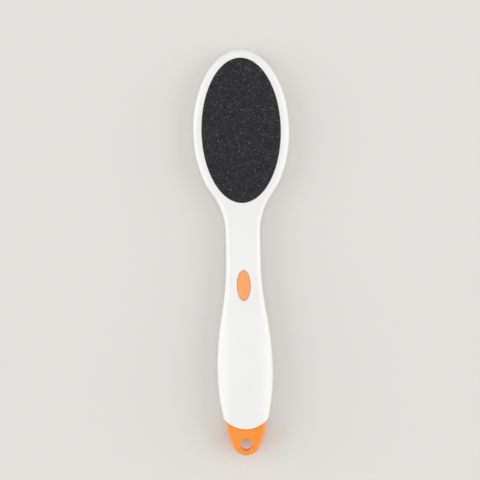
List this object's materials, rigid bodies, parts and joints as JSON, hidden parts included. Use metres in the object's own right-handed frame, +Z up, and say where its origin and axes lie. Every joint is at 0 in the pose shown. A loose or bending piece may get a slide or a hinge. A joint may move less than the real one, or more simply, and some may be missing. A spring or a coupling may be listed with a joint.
{
  "type": "foot file",
  "caption": "Two-sided foot file: hollow paddle with an oval abrasive disc on each face, a swelling grip with oval thumb inlays and an end cap with a hanging hole.",
  "frame": {"origin": "under the middle of the file's length and width, on the surface that the grip's belly lies on", "axes": "+Z up through the coarse face, +Y from the end cap to the head, +X across to the right as seen with the coarse face up and the head away"},
  "size_m": [0.05, 0.211, 0.014],
  "materials": {
    "shell_plastic": "white moulded plastic, satin",
    "accent_plastic": "orange moulded plastic, satin",
    "inlay_plastic": "light orange soft-touch plastic",
    "coarse_grit": "coated abrasive sheet, coarse black grit",
    "fine_grit": "coated abrasive sheet, fine dark grey grit",
    "adhesive_film": "pressure-sensitive adhesive film"
  },
  "bodies": {
    "root": {"front_shell": "shell_plastic", "rear_shell": "shell_plastic", "end_cap": "accent_plastic", "front_thumb_inlay": "inlay_plastic", "rear_thumb_inlay": "inlay_plastic", "coarse_abrasive": "coarse_grit", "coarse_adhesive": "adhesive_film", "fine_abrasive": "fine_grit", "fine_adhesive": "adhesive_film"}
  },
  "joints": []
}
